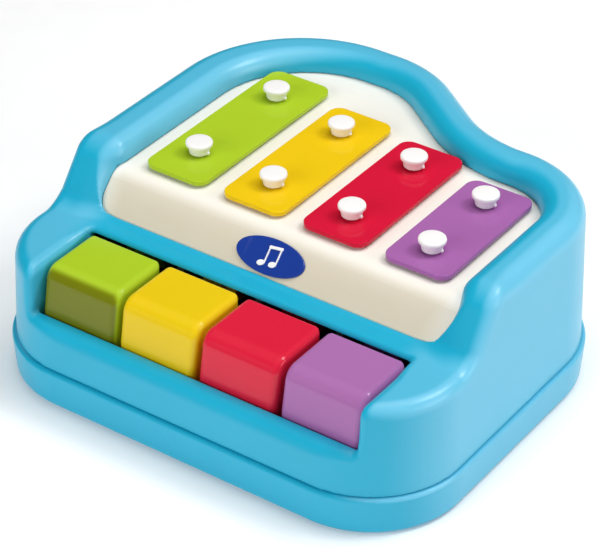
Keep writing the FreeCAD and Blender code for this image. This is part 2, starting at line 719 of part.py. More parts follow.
os.makedirs("parts", exist_ok=True)
export("upper_housing", upper_housing())
export("base_tray", base_tray())
export("rubber_feet", rubber_feet())
export("bar_deck", bar_deck())
export("bar_pegs", bar_pegs())
export("bar_cushions", bar_cushions())
export("peg_retainers", peg_retainers())
export("front_badge", front_badge())
for colour in COLOURS:
    export("tone_bar_" + colour, tone_bar(colour))
    export("key_" + colour, key(colour))
    export("hammer_arm_" + colour, hammer_arm(colour))
    export("hammer_head_" + colour, hammer_head(colour))
    export("return_spring_" + colour, return_spring(colour))
export("action_frame", action_frame())
export("key_rod", rod(KEY_ROD))
export("hammer_rod", rod(HAMMER_ROD))
export("rod_caps", rod_caps())
export("key_down_stop", key_down_stop())
export("key_up_stop", key_up_stop())
export("hammer_rest", hammer_rest())
export("housing_screws", screws(HOUSING_SCREWS, HOUSING_SEAT_Z, 30.0, 1))
export("deck_screws", screws(DECK_SCREWS, DECK_SEAT_Z, 20.0, 1))
export("frame_screws", screws(FRAME_SCREWS, FRAME_PLATE_Z + FRAME_PLATE_THICKNESS, 8.0, -1))
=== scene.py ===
import functools
import math

import bpy
import numpy as np
from mathutils import Matrix, Vector


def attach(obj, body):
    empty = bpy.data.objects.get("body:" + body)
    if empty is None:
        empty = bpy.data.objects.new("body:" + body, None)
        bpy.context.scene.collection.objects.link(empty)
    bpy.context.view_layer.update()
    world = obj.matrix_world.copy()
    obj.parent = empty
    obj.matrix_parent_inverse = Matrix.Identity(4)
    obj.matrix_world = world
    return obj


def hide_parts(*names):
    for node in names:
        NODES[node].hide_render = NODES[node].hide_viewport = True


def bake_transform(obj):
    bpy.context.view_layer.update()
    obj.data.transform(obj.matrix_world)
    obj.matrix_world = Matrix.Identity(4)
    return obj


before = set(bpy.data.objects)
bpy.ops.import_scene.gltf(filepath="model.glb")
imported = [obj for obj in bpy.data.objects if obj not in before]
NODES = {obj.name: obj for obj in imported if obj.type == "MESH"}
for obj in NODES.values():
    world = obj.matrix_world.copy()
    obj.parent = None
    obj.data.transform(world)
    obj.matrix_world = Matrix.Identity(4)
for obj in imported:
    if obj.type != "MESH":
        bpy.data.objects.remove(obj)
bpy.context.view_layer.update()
BODY = "piano"
COLOURS = ["green", "yellow", "red", "purple"]
MM = 0.001
KEY_PITCH = 48.0
# Shapes are laid out from the middle of the key row. The frame's origin is under the footprint's middle.
SHIFT = np.array((1.75, 2.9, 0.0))


def key_x(index):
    """Middle of a key, counted from the left."""
    return (index - 1.5) * KEY_PITCH


def to_frame(point):
    """A layout point in millimetres, as a point of the frame in metres."""
    return tuple((np.array(point) + SHIFT) * MM)


# ---- Signed distance tools, in millimetres ------------------------------------------

SETTLE_ROUNDS = 4
FLATTEST_SLOPE = 0.05
SMOOTH_AGREEMENT = 0.9


def round_max(a, b, r):
    """Intersection of two solids, its edge rounded to r."""
    return np.minimum(np.maximum(a, b), -r) + np.hypot(np.maximum(r + a, 0), np.maximum(r + b, 0))


def round_min(a, b, r):
    """Union of two solids, its inner corner filled to r."""
    return -round_max(-a, -b, r)


def overlap(*fields):
    """Intersection of solids, with sharp edges."""
    return functools.reduce(np.maximum, fields)


def within(value, middle, half):
    """Inside where value is less than half away from middle."""
    return np.abs(value - middle) - half


def ramp(v, start, end, low=0.0, high=1.0):
    """Low before start, high after end, smooth between."""
    t = np.clip((v - start) / (end - start), 0, 1)
    return low + (high - low) * t * t * (3 - 2 * t)


def gradient(field, points):
    """The field's slope at each point, by central differences."""
    step = 0.02
    slopes = []
    for axis in range(3):
        ahead, behind = points.copy(), points.copy()
        ahead[:, axis] += step
        behind[:, axis] -= step
        slopes.append((field(*ahead.T) - field(*behind.T)) / (2 * step))
    return np.stack(slopes, 1)


def net(field, low, high, step):
    """Closed quad mesh of the surface where field is 0: (vertices, quads)."""
    axes = [np.arange(a, b + step, step) for a, b in zip(low, high)]
    values = field(axes[0][:, None, None], axes[1][None, :, None], axes[2][None, None, :])
    values = np.ascontiguousarray(np.broadcast_to(values, [len(a) for a in axes]))
    inside = values < 0
    size = [n - 1 for n in values.shape]
    offsets = [(i, j, k) for i in (0, 1) for j in (0, 1) for k in (0, 1)]
    corners = [inside[i : i + size[0], j : j + size[1], k : k + size[2]] for i, j, k in offsets]
    count = sum(corner.astype(np.int8) for corner in corners)
    cells = np.argwhere((count > 0) & (count < 8))
    index = np.full(size, -1, np.int64)
    index[tuple(cells.T)] = np.arange(len(cells))

    total = np.zeros((len(cells), 3))
    hits = np.zeros(len(cells))
    for axis in range(3):
        for offset in offsets:
            if offset[axis]:
                continue
            first = cells + offset
            second = first.copy()
            second[:, axis] += 1
            a, b = values[tuple(first.T)], values[tuple(second.T)]
            crosses = (a < 0) != (b < 0)
            point = first[crosses].astype(float)
            point[:, axis] += a[crosses] / (a[crosses] - b[crosses])
            total[crosses] += point
            hits[crosses] += 1
    points = np.array(low) + step * total / hits[:, None]

    quads = []
    for axis in range(3):
        u, v = (axis + 1) % 3, (axis + 2) % 3
        lower = [slice(None)] * 3
        upper = [slice(None)] * 3
        lower[axis], upper[axis] = slice(0, -1), slice(1, None)
        a, b = inside[tuple(lower)], inside[tuple(upper)]
        where = np.argwhere(a != b)
        across, along = where[:, u], where[:, v]
        where = where[(across > 0) & (along > 0) & (across < size[u]) & (along < size[v])]
        du, dv = np.eye(3, dtype=int)[u], np.eye(3, dtype=int)[v]
        ring = [index[tuple((where - s).T)] for s in (du + dv, dv, 0 * du, du)]
        quad = np.stack(ring, 1)
        flip = b[tuple(where.T)]
        quad[flip] = quad[flip][:, ::-1]
        quads.append(quad)
    quads = np.concatenate(quads)

    for _ in range(SETTLE_ROUNDS):
        value = field(*points.T)
        slope = gradient(field, points)
        move = -value[:, None] * slope / np.maximum((slope**2).sum(1), FLATTEST_SLOPE)[:, None]
        length = np.linalg.norm(move, axis=1)
        move *= np.minimum(1, 0.5 * step / np.maximum(length, 1e-9))[:, None]
        points += move
    return points, quads


def mesh_object(name, points, faces, normals=None):
    """A smooth-shaded object riding on the case, from points in millimetres."""
    mesh = bpy.data.meshes.new(name)
    faces = np.asarray(faces)
    mesh.from_pydata(((np.asarray(points) + SHIFT) * MM).tolist(), [], faces.tolist())
    mesh.polygons.foreach_set("use_smooth", [True] * len(mesh.polygons))
    if normals is not None:
        mesh.normals_split_custom_set_from_vertices(normals.tolist())
    mesh.update()
    piece = bpy.data.objects.new(name, mesh)
    bpy.context.scene.collection.objects.link(piece)
    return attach(piece, BODY)


def net_object(name, field, low, high, step, place=None):
    """An object from a distance field, shaded with the field's own normals away from its sharp edges."""
    points, quads = net(field, low, high, step)
    slope = gradient(field, points)
    slope /= np.maximum(np.linalg.norm(slope, axis=1), 1e-9)[:, None]
    corner = points[quads]
    facing = np.cross(corner[:, 2] - corner[:, 0], corner[:, 3] - corner[:, 1])
    mean = np.zeros_like(points)
    for i in range(4):
        np.add.at(mean, quads[:, i], facing)
    mean /= np.maximum(np.linalg.norm(mean, axis=1), 1e-9)[:, None]
    agree = (slope * mean).sum(1) > SMOOTH_AGREEMENT
    normals = np.where(agree[:, None], slope, mean)
    if place is not None:
        points = points @ place[:3, :3].T + place[:3, 3]
        normals = normals @ place[:3, :3].T
    return mesh_object(name, points, quads, normals)


# ---- Plan outline of the case --------------------------------------------------------

HALF = 128.5
FRONT_Y = -132.3
FRONT_R = 53.0
LEFT_SWELL = 3.5
RIGHT = ((69.5, 22.4), 59.0)
WAIST = ((67.0, 145.0), 63.6)
SHOULDER = ((-38.4, 53.9), 72.6)
LEFT = ((-46.5, 44.5), 82.0)


def outline_parts(swell):
    """The arcs and lines of the outline, its left side moved outwards by swell."""
    run = WAIST[0][0] - SHOULDER[0][0]
    rise = WAIST[0][1] - SHOULDER[0][1]
    lean = math.acos((WAIST[1] + SHOULDER[1]) / math.hypot(run, rise))
    turn = math.degrees(math.atan2(rise, run) + lean)
    corner = (HALF - FRONT_R, FRONT_Y + FRONT_R)
    arcs = [
        (corner, FRONT_R, -90, 0, 1),
        (*RIGHT, 0, 90, 1),
        (*WAIST, turn - 180, -90, -1),
        (*SHOULDER, turn, 90, 1),
        ((LEFT[0][0] - swell, LEFT[0][1]), LEFT[1], 90, 180, 1),
        ((-corner[0] - swell, corner[1]), FRONT_R, 180, 270, 1),
    ]
    ends = []
    for centre, radius, start, end, way in arcs:
        angles = [math.radians(a) for a in ((start, end) if way > 0 else (end, start))]
        ends.append([(centre[0] + radius * math.cos(a), centre[1] + radius * math.sin(a)) for a in angles])
    lines = [(ends[i][1], ends[(i + 1) % len(ends)][0]) for i in range(len(ends))]
    return arcs, lines


CASE_PLAN = outline_parts(LEFT_SWELL)
DECK_PLAN = outline_parts(0.0)


def outline(x, y, plan=CASE_PLAN):
    """Signed distance to the case's plan outline, negative inside."""
    arcs, lines = plan
    x, y = np.broadcast_arrays(x, y)
    best = np.full(x.shape, 1e6)
    for (cx, cy), radius, start, end, way in arcs:
        rho = np.hypot(x - cx, y - cy)
        angle = (np.degrees(np.arctan2(y - cy, x - cx)) - start) % 360
        sweep = (end - start) % 360
        valid = (angle <= sweep + 1e-6) | (angle >= 360 - 1e-6)
        signed = way * (rho - radius)
        best = np.where(valid & (np.abs(signed) < np.abs(best)), signed, best)
    for (ax, ay), (bx, by) in lines:
        length = math.hypot(bx - ax, by - ay)
        if length < 1e-6:
            continue
        tx, ty = (bx - ax) / length, (by - ay) / length
        along = (x - ax) * tx + (y - ay) * ty
        signed = (x - ax) * ty - (y - ay) * tx
        valid = (along >= -1e-6) & (along <= length + 1e-6)
        best = np.where(valid & (np.abs(signed) < np.abs(best)), signed, best)
    return best


# ---- Blue upper housing --------------------------------------------------------------

PARTING, LIP, CHEEK, DECK, RIM = 22.0, 45.6, 72.3, 89.8, 102.3
DRAFT_FOOT, DRAFT, DRAFT_HEIGHT = 2.4, 3.2, 84.0
APRON_Y, BEND_Y = -62.2, -44.7
RISER_TOP_Y, RISER_FOOT_Y = -46.4, -61.5
CREST_RADIUS, FOOT_RADIUS = 8.0, 5.5
DECK_INSET, DECK_CORNER, GAP = 25.0, 8.5, 0.25
WELL_X, WELL_FRONT, WELL_BACK = 96.0, -119.0, -75.2
FRONT_WALL, WALL = 3.4, 3.0
SKIRT_X = WELL_X - 0.1
# Each of these is a ramp: where it starts, where it ends, and its values there.
RISER_SWEEP_BY_X = (88.0, 114.0, 0.0, 6.0)
TOP_ROUND_BY_Y = (-48.0, -24.0, 6.8, 9.4)
LIP_ROUND_BY_X = (70.0, 92.0, 7.0, 4.6)
BEAD_BY_Y = (-52.0, -38.0, 0.0, 2.4)
BEAD_ROUND_BY_Y = (-63.0, -46.0, 1.6, 9.0)
WALL_BY_Z = (27.0, 33.0, WALL, 4.2)
WELL_ROUND, WELL_CORNER_ROUND = 2.6, 5.4


def apron_height(y):
    """Height of the white panel's top surface."""
    slope = (DECK - CHEEK) / (BEND_Y - APRON_Y)
    return DECK - np.maximum(BEND_Y - y, 0) * slope


def case_top(x, y, z):
    """Distance over the cheeks, the sloping risers and the rim."""
    foot = RISER_FOOT_Y - ramp(np.abs(x), *RISER_SWEEP_BY_X)
    run = RISER_TOP_Y - foot
    rise = RIM - CHEEK
    slope = (-(y - foot) * rise + (z - CHEEK) * run) / np.hypot(run, rise)
    back = round_max(slope, z - RIM, CREST_RADIUS)
    return round_min(back, z - CHEEK, FOOT_RADIUS)


def case_body(x, y, z):
    """The drafted case without its openings, its top edge rounder towards the back."""
    inset = DRAFT_FOOT + DRAFT * (z - PARTING) / DRAFT_HEIGHT
    return round_max(outline(x, y) + inset, case_top(x, y, z), ramp(y, *TOP_ROUND_BY_Y))


def well(x, y, z, body):
    """The keys' opening: open to the front above the lip, inside the front wall below it."""
    front = round_min(y - WELL_FRONT, -(body + FRONT_WALL), 3.0)
    lip = -round_max(front, z - LIP, 1.2)
    across = round_max(np.abs(x) - WELL_X, y - WELL_BACK, 3.0)
    return round_max(across, lip, 2.0)


def well_edge(x, y, z):
    """Rounding of the well's edges: wider along the lip and up the cheeks' front corners."""
    on_lip = ramp(np.abs(x), *LIP_ROUND_BY_X)
    forward = ramp(-y, 78.0, 94.0)
    above_lip = ramp(z, 47.0, 56.0)
    return WELL_ROUND + forward * (on_lip - WELL_ROUND + (WELL_CORNER_ROUND - on_lip) * above_lip)


def housing(x, y, z):
    """The shell: the case, less the deck's opening, the keys' well, the hollow and the panel's seat."""
    body = case_body(x, y, z)
    ax = np.abs(x)
    deck_d = outline(x, y, DECK_PLAN) + DECK_INSET
    opening = round_max(deck_d, APRON_Y - y, DECK_CORNER) - GAP
    bead_d = deck_d + ramp(y, *BEAD_BY_Y)
    bead = round_max(bead_d, APRON_Y - y, DECK_CORNER) - GAP
    solid = round_max(body, -bead, ramp(y, *BEAD_ROUND_BY_Y))
    solid = round_max(solid, -well(x, y, z, body), well_edge(x, y, z))

    shell = np.maximum(solid, -(solid + ramp(z, *WALL_BY_Z)))
    lip_fill = overlap(ax - (WELL_X + 2.0), within(y, -124.0, 5.0), within(z, 40.8, 4.6))
    shell = np.minimum(shell, np.maximum(solid, lip_fill))
    # Room below the deck, behind the keys, under the lip and beside the keys.
    inside_cuts = [
        np.maximum(opening - 5.0, z - 65.0),
        overlap(ax - SKIRT_X, within(y, -73.6, 2.6), z - 68.6),
        overlap(ax - SKIRT_X, within(y, -121.4, 3.0), z - 36.0),
        overlap(within(ax, 98.0, 2.1), within(y, -97.0, 22.0), z - 26.0),
    ]
    for cut in inside_cuts:
        shell = np.maximum(shell, -np.maximum(cut, body + WALL))
    sag = apron_height(y)
    shelf = overlap(-4.0 - opening, opening - 1.5, within(z, sag - 4.0, 1.25))
    panel_room = np.maximum(opening, within(z, sag - 1.25, 1.5))
    shell = np.maximum(np.minimum(shell, shelf), -panel_room)
    return np.maximum(shell, PARTING + 0.05 - z)


HOUSING_LOW, HOUSING_HIGH, HOUSING_STEP = (-135, -135, 19.3), (131, 130, 105), 1.4
housing_piece = net_object("housing_shell", housing, HOUSING_LOW, HOUSING_HIGH, HOUSING_STEP)
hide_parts("upper_housing")

# ---- Screw bosses, pegs, springs and badge motif -------------------------------------

SHARP_ANGLE = math.radians(40)
BOSS_SIDES, PEG_SIDES, NUB_SIDES = 32, 48, 16


def ring_mesh(rings, wrap):
    """Closed skin over rings of points, each joined to the next.

    With wrap, the last ring joins the first. Without it, both ends are capped.
    """
    count = len(rings[0])
    faces = []
    pairs = len(rings) if wrap else len(rings) - 1
    for i in range(pairs):
        a, b = i * count, (i + 1) % len(rings) * count
        faces += [(a + j, a + (j + 1) % count, b + (j + 1) % count, b + j) for j in range(count)]
    if not wrap:
        faces.append(tuple(range(count))[::-1])
        faces.append(tuple(range((len(rings) - 1) * count, len(rings) * count)))
    return [tuple(point) for ring in rings for point in ring], faces


def skin_object(name, parts, fixed=True):
    """One smooth-shaded object from several closed skins, fixed to the case or left unattached."""
    points, faces = [], []
    for part_points, part_faces in parts:
        base = len(points)
        points += part_points
        faces += [tuple(i + base for i in face) for face in part_faces]
    mesh = bpy.data.meshes.new(name)
    mesh.from_pydata([to_frame(point) for point in points], [], faces)
    mesh.polygons.foreach_set("use_smooth", [True] * len(mesh.polygons))
    mesh.update()
    mesh.set_sharp_from_angle(angle=SHARP_ANGLE)
    piece = bpy.data.objects.new(name, mesh)
    bpy.context.scene.collection.objects.link(piece)
    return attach(piece, BODY) if fixed else piece


def circle(x, y, z, radius, count):
    """Points round an upright axis."""
    turns = np.linspace(0, 2 * math.pi, count, endpoint=False)
    return [(x + radius * math.cos(t), y + radius * math.sin(t), z) for t in turns]


def quarter(count):
    """Cosines and sines over a quarter turn."""
    return [(math.cos(t), math.sin(t)) for t in np.linspace(0, math.pi / 2, count)]


CHEEK_ROOF, RIM_ROOF = 69.6, 99.0
SCREW_SPOTS = [
    (-110, -92, CHEEK_ROOF),
    (110, -92, CHEEK_ROOF),
    (-114.5, 0, RIM_ROOF),
    (114.5, 0, RIM_ROOF),
    (-80.5, 103.4, RIM_ROOF),
    (101.3, 54.2, RIM_ROOF),
]


def boss(x, y, top):
    """A screw boss with a pilot hole, a little wider where it meets the roof."""
    profile = [(1.5, 26.7), (4.2, 26.7), (4.5, 27.0), (4.5, top - 4), (4.9, top - 1.5), (4.9, top)]
    profile += [(1.2, top), (1.2, 46.0), (1.5, 45.0)]
    return ring_mesh([circle(x, y, z, radius, BOSS_SIDES) for radius, z in profile], True)


bosses = skin_object("housing_bosses", [boss(*spot) for spot in SCREW_SPOTS])

BAR_FRONT_Y, BAR_LENGTHS = -39.2, (116.6, 103.7, 96.5, 84.5)
NODE_SHARES = (0.198, 0.78)
NUB_OUT, NUB_Z = 5.55, 96.25


def peg_skin(x, y):
    """A white peg: a shank through bar and deck, a tapered body and a wider domed head."""
    shank = [(2.4, 82.0), (2.9, 82.5), (2.9, 95.1)]
    body = [(4.9, 95.1), (5.15, 95.3), (5.3, 95.8), (5.75, 99.0), (6.1, 99.5)]
    under_rim = [(6.6 + 0.4 * sine, 100.0 - 0.4 * cosine) for cosine, sine in quarter(4)]
    over_rim = [(6.0 + cosine, 100.9 + 0.9 * sine) for cosine, sine in quarter(7)]
    profile = shank + body + under_rim + over_rim + [(4.6, 101.95), (2.4, 102.0)]
    return ring_mesh([circle(x, y, z, radius, PEG_SIDES) for radius, z in profile], False)


def nub_skin(x, y):
    """The small catch that shows under a peg's head."""
    rings = []
    for t in np.linspace(-math.pi / 2, math.pi / 2, 9):
        z, radius = NUB_Z + 0.95 * math.sin(t), 0.05 + 0.85 * math.cos(t)
        rings.append(circle(x + NUB_OUT, y, z, radius, NUB_SIDES))
    return ring_mesh(rings, False)


peg_parts = []
for index, length in enumerate(BAR_LENGTHS):
    for share in NODE_SHARES:
        spot = (key_x(index), BAR_FRONT_Y + share * length)
        peg_parts += [peg_skin(*spot), nub_skin(*spot)]
pegs = skin_object("peg_heads", peg_parts)
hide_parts("bar_pegs")

SPRING_Y, SPRING_FOOT, SPRING_HEAD = -96.0, 20.0, 48.0
COIL_RADIUS, WIRE, COILS = 4.6, 0.6, 7
COIL_STEPS, WIRE_SIDES = 30, 10
EVEN_SHARE, WOUND_FROM, WOUND_TO = 0.65, -0.04, 1.04
WIRE_CLEARANCE = 0.05


def spring_climb(share):
    """Height along the spring, slower at both ends so that the end coils lie closer."""
    start = ramp(0.0, WOUND_FROM, WOUND_TO, high=1 - EVEN_SHARE)
    climb = ramp(share, WOUND_FROM, WOUND_TO, high=1 - EVEN_SHARE) + share * EVEN_SHARE
    return float((climb - start) / (1 - 2 * start))


def spring_skin(x, y):
    """A compression spring with close end coils."""
    steps = COILS * COIL_STEPS
    low = SPRING_FOOT + WIRE + WIRE_CLEARANCE
    high = SPRING_HEAD - WIRE - WIRE_CLEARANCE
    upright = np.array((0, 0, 1))
    rings = []
    for i in range(steps + 1):
        angle = 2 * math.pi * COILS * i / steps
        outward = np.array((math.cos(angle), math.sin(angle), 0.0))
        middle = np.array((x, y, low + (high - low) * spring_climb(i / steps))) + outward * COIL_RADIUS
        ring = []
        for j in range(WIRE_SIDES):
            around = 2 * math.pi * j / WIRE_SIDES
            ring.append(tuple(middle + WIRE * (outward * math.cos(around) + upright * math.sin(around))))
        rings.append(ring[::-1])
    return ring_mesh(rings, False)


spring_pieces = []
for index, colour in enumerate(COLOURS):
    spot = (key_x(index), SPRING_Y)
    spring = skin_object("spring_coil_" + colour, [spring_skin(*spot)], fixed=False)
    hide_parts("return_spring_" + colour)
    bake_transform(spring)
    spring_pieces.append(spring)


def slab(x, y, x0, y0, x1, y1, half):
    """Distance to a line of the given half width, in the badge's plane."""
    run, rise = x1 - x0, y1 - y0
    share = np.clip(((x - x0) * run + (y - y0) * rise) / (run**2 + rise**2), 0, 1)
    return np.hypot(x - x0 - share * run, y - y0 - share * rise) - half


NOTE_HEADS, NOTE_RISE, NOTE_LEAN = (-3.4, 3.0), 0.13, 0.35


def note_relief(x, y, z):
    """Two joined notes as a low relief: leaning oval heads, stems and the beam over them."""
    flat = 1e6
    for head in NOTE_HEADS:
        lift = NOTE_RISE * head
        across, along = x - head, y + 3.9 - lift
        u = across * math.cos(NOTE_LEAN) + along * math.sin(NOTE_LEAN)
        v = -across * math.sin(NOTE_LEAN) + along * math.cos(NOTE_LEAN)
        flat = np.minimum(flat, (np.hypot(u / 2.2, v / 1.5) - 1) * 1.5)
        stem = head + 1.75
        flat = np.minimum(flat, slab(x, y, stem, -3.6 + lift, stem, 4.6 + lift, 0.42))
    flat = np.minimum(flat, slab(x, y, -1.65, 4.5, 4.75, 5.3, 0.8))
    return round_max(flat, np.abs(z) - 0.45, 0.18)


BADGE_SHARE = 0.43
BADGE_PROUD = 1.0
tilt = math.atan2(DECK - CHEEK, BEND_Y - APRON_Y)
on_badge = np.eye(4)
on_badge[:3, :3] = [[1, 0, 0], [0, math.cos(tilt), -math.sin(tilt)], [0, math.sin(tilt), math.cos(tilt)]]
badge_middle = (0, APRON_Y + (BEND_Y - APRON_Y) * BADGE_SHARE, CHEEK + (DECK - CHEEK) * BADGE_SHARE)
on_badge[:3, 3] = np.array(badge_middle) + on_badge[:3, 2] * BADGE_PROUD
MOTIF_LOW, MOTIF_HIGH, MOTIF_STEP = (-7.5, -7.5, -0.9), (7.5, 7.5, 0.9), 0.2
motif = net_object("badge_notes", note_relief, MOTIF_LOW, MOTIF_HIGH, MOTIF_STEP, on_badge)

# ---- Materials -----------------------------------------------------------------------


def linear(r, g, b):
    """A linear colour from 0 to 255 screen values."""
    shares = (r / 255, g / 255, b / 255)
    return tuple(c / 12.92 if c <= 0.04045 else ((c + 0.055) / 1.055) ** 2.4 for c in shares) + (1.0,)


def link(source, output, target, entry):
    """Join two nodes of the same tree."""
    source.id_data.links.new(source.outputs[output], target.inputs[entry])


def map_range(tree, low, high, bottom, top, smooth=False):
    """A node that goes from bottom at low to top at high."""
    node = tree.nodes.new("ShaderNodeMapRange")
    node.interpolation_type = "SMOOTHSTEP" if smooth else "LINEAR"
    for entry, value in (("From Min", low), ("From Max", high), ("To Min", bottom), ("To Max", top)):
        node.inputs[entry].default_value = value
    return node


def maths(tree, operation):
    """A node that does one sum."""
    node = tree.nodes.new("ShaderNodeMath")
    node.operation = operation
    return node


# Painted light: by default, faces turned up and to the right are painted in a lighter colour. FACING gives
# where that painted colour begins and where it is full. LEDGE_SIDES and LEDGE_HEIGHTS mark the shaded
# ledge, which gets none.
PAINTED_LIGHT_WAY = (0.62, 0.0, 0.61)
FACING = (0.4, 0.78)
LEDGE_SIDES = (0.088, 0.104)
LEDGE_HEIGHTS = (0.078, 0.096)


def paint_light_by_facing(tree, source, painted_shading, share, way, off_ledge):
    """Painted light and shade: faces towards way take on another colour, lighter or darker as light would
    make them.

    With off_ledge, low places between the cheeks keep the first colour and get no painted light, as they
    lie in shade.
    """
    place = tree.nodes.new("ShaderNodeNewGeometry")
    facing = tree.nodes.new("ShaderNodeVectorMath")
    facing.operation = "DOT_PRODUCT"
    facing.inputs[1].default_value = way
    link(place, "Normal", facing, 0)
    amount = map_range(tree, *FACING, 0.0, share, smooth=True)
    link(facing, "Value", amount, "Value")
    mixed = tree.nodes.new("ShaderNodeMix")
    mixed.data_type = "RGBA"
    mixed.inputs["B"].default_value = painted_shading
    link(source, "Result", mixed, "A")
    # No painted light on the low ledge between the cheeks, which lies in shade.
    if off_ledge:
        spot = tree.nodes.new("ShaderNodeSeparateXYZ")
        side, either, both = [maths(tree, kind) for kind in ("ABSOLUTE", "MAXIMUM", "MULTIPLY")]
        outside, above = [
            map_range(tree, *limits, 0.0, 1.0, smooth=True) for limits in (LEDGE_SIDES, LEDGE_HEIGHTS)
        ]
        link(place, "Position", spot, 0)
        link(spot, "X", side, 0)
        link(side, "Value", outside, "Value")
        link(spot, "Z", above, "Value")
        link(outside, "Result", either, 0)
        link(above, "Result", either, 1)
        link(amount, "Result", both, 0)
        link(either, "Value", both, 1)
        link(both, "Value", mixed, "Factor")
    else:
        link(amount, "Result", mixed, "Factor")
    return mixed


BROAD_SCALE, PATCH_SCALE = 22.0, 60.0
WORN_POINTINESS = (0.52, 0.62)
RUBBED_LIGHTER = 0.35
PATCH_SPREAD, GLOSSIER, DULLER = (0.3, 0.75), 0.15, 0.25
SURFACE_DEPTH = EDGE_RADIUS = 0.0004


def finish(
    name,
    colour,
    rough,
    grain=900.0,
    bump=0.03,
    drift=0.05,
    metal=0.0,
    coat=0.0,
    wear=0.25,
    sheen=0.0,
    painted_shading=None,
    painted_shading_share=0.4,
    way=PAINTED_LIGHT_WAY,
    gloss_level=0.5,
    patchy=1.0,
    soft_edges=True,
):
    """Moulded or metal surface: colour drift, fine grain, worn and rounded edges, patchy gloss, and, when
    given, painted light or shade on faces turned one way.
    """
    material = bpy.data.materials.new(name)
    material.use_nodes = True
    tree = material.node_tree
    tree.nodes.clear()

    def add(kind, **values):
        """A node with these inputs or settings."""
        node = tree.nodes.new(kind)
        for key, value in values.items():
            if key in node.inputs:
                node.inputs[key].default_value = value
            else:
                setattr(node, key, value)
        return node

    out = add("ShaderNodeOutputMaterial")
    shader = add("ShaderNodeBsdfPrincipled", Metallic=metal, IOR=1.47)
    shader.inputs["Specular IOR Level"].default_value = gloss_level
    shader.inputs["Coat Weight"].default_value = coat
    shader.inputs["Coat Roughness"].default_value = 0.08
    shader.inputs["Sheen Weight"].default_value = sheen
    place = add("ShaderNodeTexCoord")
    broad = add("ShaderNodeTexNoise", Scale=BROAD_SCALE, Detail=3.0, Roughness=0.55)
    fine = add("ShaderNodeTexNoise", Scale=grain, Detail=4.0, Roughness=0.6)
    patch = add("ShaderNodeTexNoise", Scale=PATCH_SCALE, Detail=2.0, Roughness=0.5)
    for noise in (broad, fine, patch):
        link(place, "Object", noise, "Vector")

    tint = add("ShaderNodeMix", data_type="RGBA")
    tint.inputs["A"].default_value = tuple(c * (1 - drift) for c in colour[:3]) + (1.0,)
    tint.inputs["B"].default_value = tuple(min(1.0, c * (1 + drift)) for c in colour[:3]) + (1.0,)
    link(broad, "Fac", tint, "Factor")

    shape = add("ShaderNodeNewGeometry")
    edge = map_range(tree, *WORN_POINTINESS, 0.0, wear)
    link(shape, "Pointiness", edge, "Value")
    worn = maths(tree, "MULTIPLY")
    link(edge, "Result", worn, 0)
    link(patch, "Fac", worn, 1)
    rub = add("ShaderNodeMix", data_type="RGBA")
    rub.inputs["B"].default_value = tuple(c + (1 - c) * RUBBED_LIGHTER for c in colour[:3]) + (1.0,)
    link(worn, "Value", rub, "Factor")
    link(tint, "Result", rub, "A")
    shown = rub
    # Painted light or shade: faces turned one way take on a lighter or darker colour.
    if painted_shading is not None:
        shown = paint_light_by_facing(tree, rub, painted_shading, painted_shading_share, way, way[2] > 0)
    link(shown, "Result", shader, "Base Color")

    glossiest, dullest = rough * (1 - GLOSSIER * patchy), rough * (1 + DULLER * patchy)
    gloss = map_range(tree, *PATCH_SPREAD, glossiest, dullest)
    link(patch, "Fac", gloss, "Value")
    link(gloss, "Result", shader, "Roughness")

    relief = add("ShaderNodeBump", Strength=bump, Distance=SURFACE_DEPTH)
    link(fine, "Fac", relief, "Height")
    if soft_edges:
        corner = add("ShaderNodeBevel", samples=6, Radius=EDGE_RADIUS)
        link(corner, "Normal", relief, "Normal")
    link(relief, "Normal", shader, "Normal")
    link(shader, "BSDF", out, "Surface")
    return material


# The blue's roughness stays above 0.274. Where it crosses that value, denoising leaves specks.
BLUE = finish(
    "blue_plastic",
    linear(28, 170, 204),
    0.3,
    grain=2600.0,
    bump=0.0,
    drift=0.03,
    wear=0.0,
    # Painted highlight and painted reflection: faces turned up and to the right are painted a paler blue.
    painted_shading=linear(158, 220, 248),
    patchy=0.4,
    soft_edges=False,
)
# Painted shade and painted light: the panel's beige base stands in for its shaded, warmly lit faces, and
# faces turned up are painted near white.
WHITE = finish(
    "white_panel_plastic",
    linear(213, 203, 180),
    0.34,
    bump=0.015,
    drift=0.02,
    painted_shading=linear(255, 253, 246),
    painted_shading_share=1.0,
    way=(0.62, 0.0, 0.78),
)
PEG_WHITE = finish("white_peg_plastic", linear(244, 242, 240), 0.34, drift=0.02)
RUBBER = finish("grey_rubber", linear(62, 62, 66), 0.8, grain=2500.0, bump=0.25, drift=0.12, wear=0.5)
FELT = finish("felt", linear(60, 58, 62), 0.95, grain=3200.0, bump=0.9, drift=0.2, sheen=0.6)
FRAME = finish("frame_plastic", linear(30, 31, 34), 0.5, bump=0.06)
HAMMER = finish("hammer_plastic", linear(52, 53, 58), 0.45, bump=0.05)
STRIKER = finish("striker_plastic", linear(38, 40, 46), 0.35, bump=0.05)
SPRING = finish("spring_steel", linear(178, 180, 184), 0.25, drift=0.1, metal=1.0, wear=0.0)
TURNED = {"grain": 1800.0, "metal": 1.0}
ROD = finish("rod_steel", linear(196, 198, 202), 0.2, bump=0.04, drift=0.06, wear=0.0, **TURNED)
SCREW = finish("screw_steel", linear(186, 186, 184), 0.34, bump=0.06, drift=0.1, wear=0.2, **TURNED)
BADGE = finish("badge_enamel", linear(28, 60, 150), 0.2, coat=0.4, bump=0.02)
INK = finish("badge_motif", linear(244, 244, 246), 0.34, drift=0.02)

